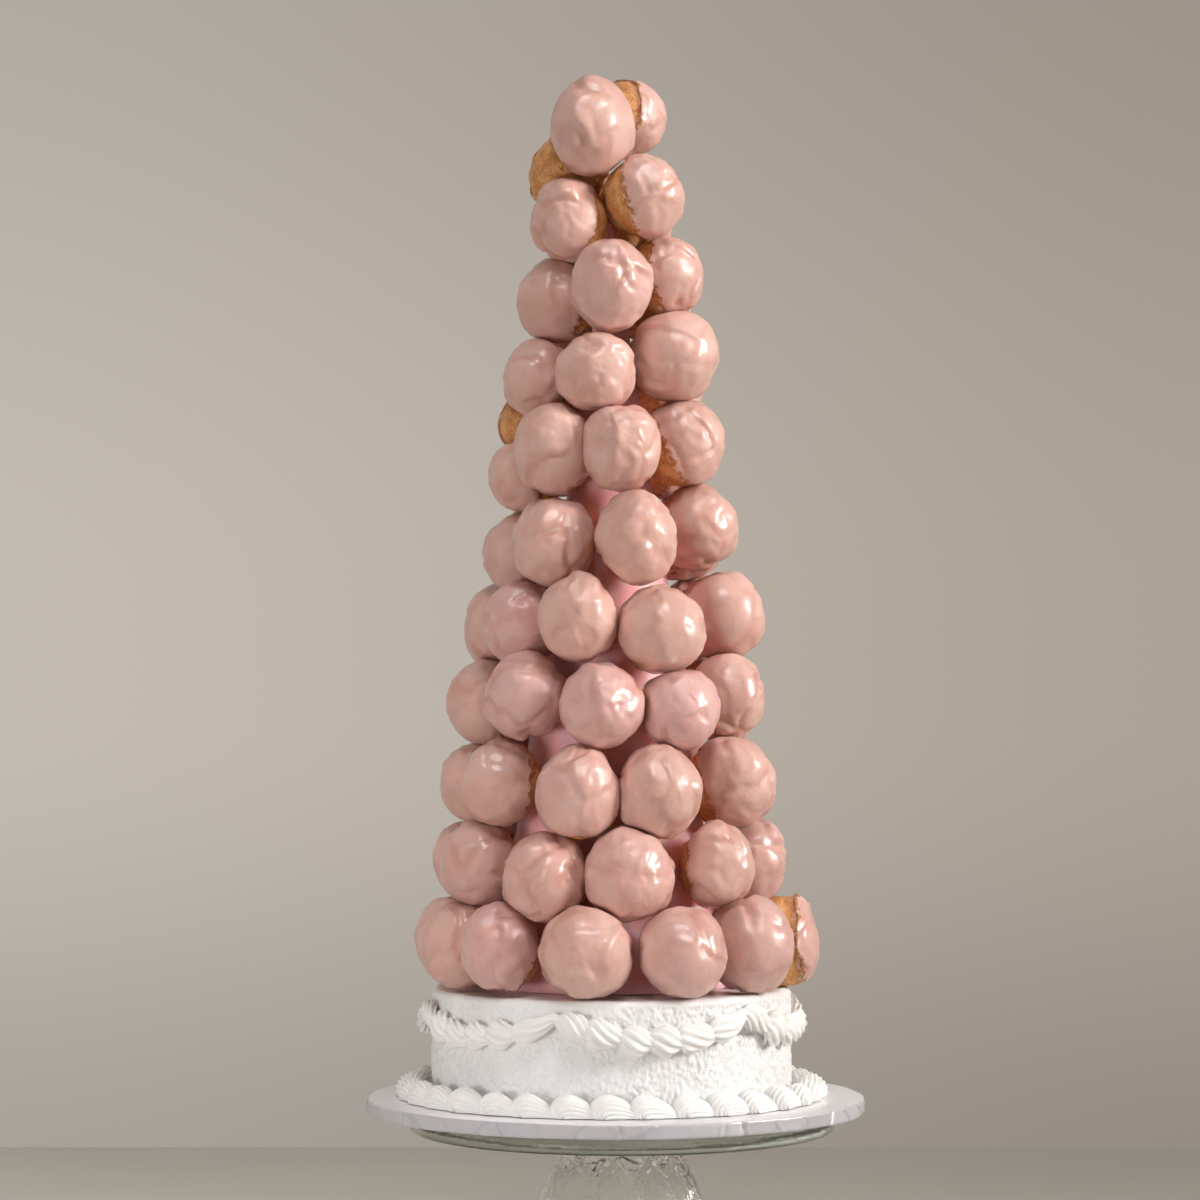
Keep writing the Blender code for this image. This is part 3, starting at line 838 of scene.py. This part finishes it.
def makeCake(look):
    steps = look["steps"]
    edge = look["edge"]
    wall = np.linspace(0.0, 1.0, look["wallRows"])
    outline = [(cakeRadius, cakeLow.z + (cakeHigh.z - edge - cakeLow.z) * share) for share in wall]
    outline += upperEdge(cakeRadius, cakeHigh.z, edge, 8)[1:]
    outline += [(cakeRadius * share, cakeHigh.z) for share in look["topRings"]]
    outline = np.array(outline)
    turns = np.arange(steps) * math.tau / steps
    turn, radius = np.meshgrid(turns, outline[:, 0])
    height = np.repeat(outline[:, 1], steps).reshape(radius.shape)
    spots = np.stack([radius * np.cos(turn), radius * np.sin(turn), height], axis=-1).reshape(-1, 3)
    slope = np.gradient(outline, axis=0)
    facing = np.stack([slope[:, 1], -slope[:, 0]], axis=1)
    facing /= np.linalg.norm(facing, axis=1)[:, None]
    side = np.repeat(facing, steps, axis=0)
    around = np.stack([np.cos(turn), np.sin(turn)], axis=-1).reshape(-1, 2)
    normal = np.concatenate([around * side[:, :1], side[:, 1:]], axis=1)
    across, up = look["pebbleSize"]
    grid = spots / np.array([across, across, up])
    drift = np.stack([latticeNoise(grid * 0.5 + 9 * k, 401 + k) for k in range(3)], axis=1)
    bumps = latticeNoise(grid + 0.45 * drift, 411)
    bumps = np.where(bumps > 0, 1.0, -0.7) * np.abs(bumps) ** 0.8
    fine = latticeNoise(grid * 1.7 + 4.0, 421) * 0.25
    patch = 0.65 + 0.35 * latticeNoise(spots * 45.0, 431)
    patch *= 0.8 + 0.5 * softStep(spots[:, 0], -0.04, 0.08)  # rougher towards the right
    level = height.reshape(-1)
    top = softStep(level, cakeHigh.z - 0.0065, cakeHigh.z - 0.003)
    strength = look["pebble"] * patch * (1.0 - 0.85 * top)  # smoother on top
    wave = wovenNoise(spots * 28.0, 441, 2) * look["wave"] * softStep(level, cakeLow.z, cakeLow.z + 0.01)
    spots += normal * ((bumps + fine - 0.5) * strength + wave - 0.4 * look["wave"])[:, None]
    ends = np.array([[0.0, 0.0, cakeLow.z], [0.0, 0.0, cakeHigh.z]])
    spots = np.concatenate([spots, ends]) + np.array([cakeAxis.x, cakeAxis.y, 0.0])
    piece = makeMesh("iced_cake", spots, closedFaces(len(outline), steps), [icing])
    settle(piece, "cake")
    print("cake iced")


makeCake(cakeLook)


# piping: both the border and the garland are ribbed tubes that swell and taper

def ribbedTube(look, middle, upright, radii, twist, sharp):
    # rings of a star-tip tube along a path; "flat" squeezes it towards the wall
    ribs, flats = look["ribs"], look["flat"]
    count, around = len(middle), ribs * look["samples"]
    turns = np.arange(around) * math.tau / around
    rib = np.abs(np.cos(turns * ribs / 2)) ** 0.8
    ahead = np.gradient(middle, axis=0)
    ahead = ahead / np.linalg.norm(ahead, axis=1)[:, None]
    out = np.cross(ahead, upright)
    out /= np.linalg.norm(out, axis=1)[:, None]
    rise = np.cross(out, ahead)
    spots = []
    for index in range(count):
        grown = radii[index] * (1.0 - sharp[index] * (1.0 - rib))
        turn = turns + twist[index]
        spots.append(middle[index] + np.outer(grown * np.cos(turn) * flats[0], out[index])
                     + np.outer(grown * np.sin(turn) * flats[1], rise[index]))
    return np.concatenate(spots + [middle[:1], middle[-1:]]), closedFaces(count, around)


def joinTubes(name, tubes, node):
    # all the tubes of one piping as one piece
    allSpots, allFaces, count = [], [], 0
    for spots, faces in tubes:
        allSpots.append(spots)
        allFaces += [[corner + count for corner in face] for face in faces]
        count += len(spots)
    settle(makeMesh(name, np.concatenate(allSpots), allFaces, [piping]), node)


def pinchedEnd(share):
    return np.sqrt(np.clip((1.0 - share) / 0.06, 0.02, 1.0))


shellLook = {
    "count": 33,
    "rings": 23,
    "ribs": 18,
    "samples": 5,  # corners for each rib
    "ribDepth": 0.27,
    "flat": (1.0, 1.0),
    "arc": 0.0054,  # radius of the path that each shell is piped along
    "arcLevel": 0.0018,  # its centre above the board
    "start": 1.36,  # where the path starts, in half turns: low on the left
    "sweep": 1.41,  # how far it goes round, over the top and down on the right
    "stretch": (1.15, 2.6),  # how the path is drawn out along the board, and further towards the tail
    "head": 0.0103,
    "tail": 0.0040,
    "ofBox": 0.84,  # the ribs stand out past the plain size
    "fromWall": 0.0136,
    "tailOut": 0.0032,  # how far the tail swings away from the wall
    "twist": 0.35,
    "wobble": 0.06,
    "intoCake": 0.004,  # the furthest that a shell reaches into the cake
}


def makeShells(look):
    low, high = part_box("shell_border")
    scale = look["ofBox"] * (high.z - low.z) / (look["arcLevel"] + look["arc"] + look["head"])
    dice = np.random.default_rng(77)
    share = np.linspace(0.0, 1.0, look["rings"])
    near, far = look["stretch"]
    inner = cakeRadius - look["intoCake"]
    shells = []
    for index in range(look["count"]):
        azimuth = math.tau * (index + dice.uniform(-look["wobble"], look["wobble"])) / look["count"]
        grow = 1.0 + dice.uniform(-look["wobble"], look["wobble"])
        around = np.array([math.sin(azimuth), -math.cos(azimuth), 0.0])
        along = np.array([math.cos(azimuth), math.sin(azimuth), 0.0])
        upright = np.array([0.0, 0.0, 1.0])
        turn = math.pi * (look["start"] - look["sweep"] * share ** 0.8)
        slide = look["arc"] * (near + far * share ** 2) * np.cos(turn)
        lift = look["arcLevel"] * (1.0 - 0.6 * share) + look["arc"] * np.sin(turn) * (1.0 - 0.4 * share)
        radii = look["head"] * np.sqrt(softStep(share, -0.05, 0.12)) * (1.0 - softStep(share, 0.34, 1.0))
        radii = (radii + look["tail"] * softStep(share, 0.1, 0.8)) * pinchedEnd(share)
        middle = (np.outer(slide, along) + np.outer(lift, upright)) * grow * scale
        ring = cakeRadius + look["fromWall"] * scale + look["tailOut"] * share
        middle += np.outer(ring, around) + np.array([cakeAxis.x, cakeAxis.y, low.z])
        twist = look["twist"] * share + dice.uniform(-0.15, 0.15)
        sharp = look["ribDepth"] * (0.65 + 0.5 * np.sin(math.pi * share ** 0.7))
        outward = around[None].repeat(look["rings"], axis=0)
        spots, faces = ribbedTube(look, middle, outward, radii * grow * scale, twist, sharp)
        reachOut = np.hypot(spots[:, 0] - cakeAxis.x, spots[:, 1] - cakeAxis.y)
        pull = np.where(reachOut < inner, inner / reachOut, 1.0)
        spots[:, 0] = cakeAxis.x + (spots[:, 0] - cakeAxis.x) * pull
        spots[:, 1] = cakeAxis.y + (spots[:, 1] - cakeAxis.y) * pull
        spots[:, 2] = np.maximum(spots[:, 2], low.z + 0.0001)
        shells.append((spots, faces))
    joinTubes("piped_shells", shells, "shell_border")
    print("border piped")


makeShells(shellLook)


garlandLook = {
    "swags": 6,
    "start": -16.0,  # azimuth of the first high point
    "rings": 28,
    "ribs": 8,
    "samples": 5,
    "ribDepth": 0.42,
    "fromWall": 0.0034,
    "flat": (1.0, 0.66),  # up the wall, out from it
    "arch": 0.0016,  # how much each bead starts above the rope's line
    "packedRings": 84,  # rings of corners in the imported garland
    # each bead along a swag: where it starts and ends (share), its head and tail, its twist
    "beads": (
        (-0.02, 0.24, 0.0074, 0.0034, 1.1),
        (0.14, 0.38, 0.0090, 0.0034, 0.9),
        (0.29, 0.53, 0.0088, 0.0036, 0.8),
        (0.44, 0.68, 0.0082, 0.0036, 0.8),
        (0.59, 0.83, 0.0080, 0.0038, 0.7),
        (0.74, 1.04, 0.0062, 0.0036, 0.5),
    ),
}

garlandSpots = nodeSpots("garland")


def garlandLevel(azimuth):
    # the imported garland's middle height at an azimuth, between its rings of corners
    turns = np.degrees(np.arctan2(garlandSpots[:, 0] - cakeAxis.x, -(garlandSpots[:, 1] - cakeAxis.y)))
    rings = garlandLook["packedRings"]
    keys = np.round(turns / 360.0 * rings + 0.25).astype(int) % rings
    rows = [garlandSpots[keys == key] for key in range(rings)]
    heights = np.array([(row[:, 2].min() + row[:, 2].max()) / 2 if len(row) else np.nan for row in rows])
    places = np.arange(rings)
    known = ~np.isnan(heights)
    return np.interp((azimuth / 360.0 * rings) % rings, places[known], heights[known], period=rings)


def makeGarland(look):
    dice = np.random.default_rng(505)
    share = np.linspace(0.0, 1.0, look["rings"])
    beads = []
    span = 360.0 / look["swags"]
    for swag in range(look["swags"]):
        for begin, end, head, tail, turned in look["beads"]:
            begin += dice.uniform(-0.015, 0.015)
            grow = dice.uniform(0.92, 1.08)
            azimuth = look["start"] + span * (swag + begin + (end - begin) * share)
            level = garlandLevel(azimuth) + dice.uniform(-0.0008, 0.0008)
            turn = np.radians(azimuth)
            radii = head * np.sqrt(softStep(share, -0.03, 0.22)) * (1.0 - softStep(share, 0.22, 0.95))
            radii = (radii + tail * softStep(share, 0.1, 0.7)) * pinchedEnd(share)
            ring = cakeRadius + look["fromWall"] * (1.0 + 0.3 * np.sin(math.pi * share))
            outward = np.stack([np.sin(turn), -np.cos(turn), np.zeros_like(turn)], axis=1)
            middle = ring[:, None] * outward + np.array([cakeAxis.x, cakeAxis.y, 0.0])
            middle[:, 2] = level
            middle[:, 2] += look["arch"] * (1.0 - share) * np.sin(math.pi * share)
            twist = turned * (1.0 - share) ** 1.5 * 2.6 + dice.uniform(-0.3, 0.3)
            sharp = look["ribDepth"] * (0.75 + 0.4 * np.sin(math.pi * share))
            radii = radii * (1.0 + 0.09 * np.sin(share * dice.uniform(7.0, 11.0) + dice.uniform(0.0, 6.0)))
            spots, faces = ribbedTube(look, middle, outward, radii * grow, twist, sharp)
            spots[:, 2] = np.minimum(spots[:, 2], cakeHigh.z - 0.0002)
            beads.append((spots, faces))
    joinTubes("piped_garland", beads, "garland")
    print("garland piped")


makeGarland(garlandLook)


# foil-covered board

boardLook = {
    "steps": 720,
    "edge": 0.0012,
    "creases": 44,
    "creaseDepth": 0.00115,
    "creaseWidth": 0.00085,
    "lean": 0.006,  # how far a crease leans along the rim
    "strayLean": 0.012,
    "panelTilt": 0.0016,
    "buckle": 0.00010,
    "sideRings": 5,
    "topRings": (0.985, 0.97, 0.94, 0.90, 0.86, 0.80, 0.5),  # shares of the radius
}


def makeBoard(look):
    low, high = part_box("cake_board")
    radius = (high.x - low.x) / 2 - 0.0004
    dice = np.random.default_rng(212)
    steps = look["steps"]
    turns = np.arange(steps) * math.tau / steps
    edge = look["edge"]
    outline = [(0.35 * radius, low.z), (0.8 * radius, low.z), (radius - 0.006, low.z)]
    outline += lowerEdge(radius, low.z, edge, 5)
    sideLevels = np.linspace(low.z + edge, high.z - edge, look["sideRings"] + 2)[1:-1]
    outline += [(radius, level) for level in sideLevels]
    outline += upperEdge(radius, high.z, edge, 5)
    outline += [(radius * share, high.z) for share in look["topRings"]]
    outline = np.array(outline)
    turn, ring = np.meshgrid(turns, outline[:, 0])
    height = np.repeat(outline[:, 1][:, None], steps, axis=1)
    share = (height - low.z) / (high.z - low.z)
    onSide = softStep(ring, radius - 0.006, radius - 0.001)
    push = np.zeros_like(turn)
    creases = look["creases"]
    starts = np.sort((np.arange(creases) + dice.uniform(-0.42, 0.42, creases)) / creases)
    for start in starts:
        lean = dice.normal() * look["lean"]
        if dice.random() < 0.3:
            lean += dice.choice([-1, 1]) * look["strayLean"]
        where = (turn / math.tau - start + 0.5) % 1.0 - 0.5
        gap = where * math.tau * radius - lean * (share - 0.5) - 0.0006 * np.sin(share * 5.0 + start * 40)
        sign = dice.choice([-1.0, 1.0], p=[0.6, 0.4])
        depth = sign * look["creaseDepth"] * dice.uniform(0.4, 1.3)
        width = look["creaseWidth"]
        push += depth * np.exp(-(gap / width) ** 2)  # a raised fold with a groove beside it, or the reverse
        push -= 0.9 * depth * np.exp(-((gap - 1.6 * width) / (1.4 * width)) ** 2)
    panel = np.searchsorted(starts, turn / math.tau % 1.0)
    tilt = dice.uniform(-1, 1, creases + 1)
    push += look["panelTilt"] * tilt[panel] * (share - 0.5)
    spots = np.stack([ring * np.cos(turn), ring * np.sin(turn), height], axis=-1).reshape(-1, 3)
    buckle = wovenNoise(spots * 55.0, 601, 2).reshape(turn.shape) * look["buckle"]
    creased = ring + (push + buckle) * onSide
    sunk = height - np.abs(buckle) * softStep(share, 0.7, 1.0) * (1 - onSide) * 0.7
    spots = np.stack([creased * np.cos(turn), creased * np.sin(turn), sunk], axis=-1).reshape(-1, 3)
    middle = (low + high) / 2
    spots = np.concatenate([spots, [[0, 0, low.z], [0, 0, high.z]]]) + np.array([middle.x, middle.y, 0.0])
    piece = makeMesh("foil_board", spots, closedFaces(len(outline), steps), [foil])
    # the board's outer side, where the foil finish paints shade
    paintedSideShadeShares = softStep(ring, radius - 0.0012, radius - 0.0002).reshape(-1)
    markPiece(piece, "rim", np.concatenate([paintedSideShadeShares, [0.0, 0.0]]))
    settle(piece, "cake_board")
    print("board covered")


makeBoard(boardLook)


# glass stand

plateLook = {
    "steps": 180,
    "rim": 0.0035,  # radius of its rounded rim
    "rings": (0.2, 0.4, 0.6, 0.8, 0.92),  # shares of the radius
}

pedestalLook = {
    "steps": 352,
    "diamonds": 11,
    "crossing": 0.0135,  # depth of the row of crossings below the plate
    "slant": 0.027,  # how far a cut runs down while it goes round one diamond
    "cut": 0.0024,
    "cutWidth": 0.115,  # share of a diamond
    "crossEnd": (0.012, 0.016),  # where the crossing cuts run out, below the crossings
    "chevron": 0.34,  # how far the chevrons are shifted down, in slants
    "chevronStart": (0.002, 0.006),
    "chevronEnd": (0.034, 0.038),  # depths below the plate
    "fan": 7,
    "fanStart": (0.004, 0.012),
    "fanEnd": (0.066, 0.078),
    "rings": 88,
    "outline": (  # depth below the plate, radius
        (0.0, 0.0365), (0.016, 0.0392), (0.045, 0.0504), (0.062, 0.0510),
        (0.080, 0.0400), (0.094, 0.0330), (0.106, 0.0420), (0.119, 0.0690),
    ),
    "footEdge": 0.004,
    "lift": 0.0004,  # the foot's underside just clears the table
}


def turnedPiece(name, outline, steps, finish, centre, relief=None):
    # a closed turned body from (radius, height) points, from the axis round to the axis
    outline = np.array(outline)
    turns = np.arange(steps) * math.tau / steps
    turn, ring = np.meshgrid(turns, outline[1:-1, 0])
    height = np.repeat(outline[1:-1, 1][:, None], steps, axis=1)
    if relief is not None:
        ring = ring + relief(turn, height)
    spots = np.stack([ring * np.cos(turn), ring * np.sin(turn), height], axis=-1).reshape(-1, 3)
    spots = np.concatenate([spots, [[0, 0, outline[0, 1]], [0, 0, outline[-1, 1]]]])
    return makeMesh(name, spots + np.array(centre), closedFaces(len(outline) - 2, steps), [finish])


def makePlate(look):
    low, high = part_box("glass_plate")
    radius, rim = (high.x - low.x) / 2, look["rim"]
    middle = (low + high) / 2
    outline = [(0.0, low.z)] + [(radius * share, low.z) for share in look["rings"]]
    outline += lowerEdge(radius, low.z, rim, 7) + upperEdge(radius, high.z, rim, 7)
    outline += [(radius * share, high.z) for share in look["rings"][::-1]] + [(0.0, high.z)]
    piece = turnedPiece("pressed_plate", outline, look["steps"], plateGlass, (middle.x, middle.y, 0.0))
    settle(piece, "glass_plate")


def pedestalRadius(depth):
    keys = np.array(pedestalLook["outline"])
    slopes = np.gradient(keys[:, 1], keys[:, 0])
    spot = np.clip(np.searchsorted(keys[:, 0], depth, side="right") - 1, 0, len(keys) - 2)
    span = keys[spot + 1, 0] - keys[spot, 0]
    share = (depth - keys[spot, 0]) / span
    square, cube = share ** 2, share ** 3
    return ((2 * cube - 3 * square + 1) * keys[spot, 1] + (cube - 2 * square + share) * span * slopes[spot]
            + (3 * square - 2 * cube) * keys[spot + 1, 1] + (cube - square) * span * slopes[spot + 1])


def makePedestal(look):
    low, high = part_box("glass_pedestal")
    middle = (low + high) / 2
    deepest = look["outline"][-1][0]
    footRadius = (high.x - low.x) / 2

    def cuts(turn, height):
        depth = high.z - height
        outer = pedestalRadius(np.clip(depth, 0.0, deepest))
        place = turn / math.tau * look["diamonds"]
        width = look["cutWidth"]
        relief = np.zeros_like(turn)
        below = depth - look["crossing"]
        run = below / look["slant"]
        crossShown = 1.0 - softStep(below, *look["crossEnd"])
        chevronShown = softStep(below, *look["chevronStart"]) * (1 - softStep(depth, *look["chevronEnd"]))
        for way in (-1.0, 1.0):  # the crossing cuts above and the chevrons just below
            gap = (place + way * run + 0.5) % 1.0 - 0.5
            relief -= np.maximum(1.0 - np.abs(gap) / width, 0.0) * crossShown
            gap = (place + way * (run - look["chevron"]) + 0.5) % 1.0 - 0.5
            relief -= 0.8 * np.maximum(1.0 - np.abs(gap) / width, 0.0) * chevronShown
        inner = (place + 0.5) % 1.0 - 0.5  # fans of cuts that open downwards from each crossing
        spread = np.clip(below / 0.03, 0.02, 1.0)
        leaf = inner / (0.5 * spread ** 0.6)
        fan = np.abs(np.cos(leaf * math.pi * look["fan"] / 2)) ** 6
        fanShown = softStep(below, *look["fanStart"]) * (1.0 - softStep(depth, *look["fanEnd"]))
        relief -= 0.7 * fan * fanShown * (np.abs(leaf) < 1.0)
        on = (depth < deepest) * (height > 0.0045) * (depth > 0.0) * 1.0
        return relief * look["cut"] * on * np.clip(outer / 0.04, 0.5, 1.2)

    depths = np.linspace(0.0, deepest, look["rings"])
    outline = [(0.0, high.z), (0.6 * look["outline"][0][1], high.z)]
    outline += [(float(pedestalRadius(depth)), high.z - depth) for depth in depths]
    outline += [(footRadius - 0.0015, look["footEdge"] + 0.0006), (footRadius, look["footEdge"] - 0.0008)]
    under = look["lift"]
    outline += [(footRadius, 0.0014), (footRadius - 0.001, under), (0.5 * footRadius, under), (0.0, under)]
    centre = (middle.x, middle.y, 0.0)
    piece = turnedPiece("pressed_pedestal", outline[::-1], look["steps"], pedestalGlass, centre, cuts)
    settle(piece, "glass_pedestal")
    print("glass stand made")


makePlate(plateLook)
makePedestal(pedestalLook)
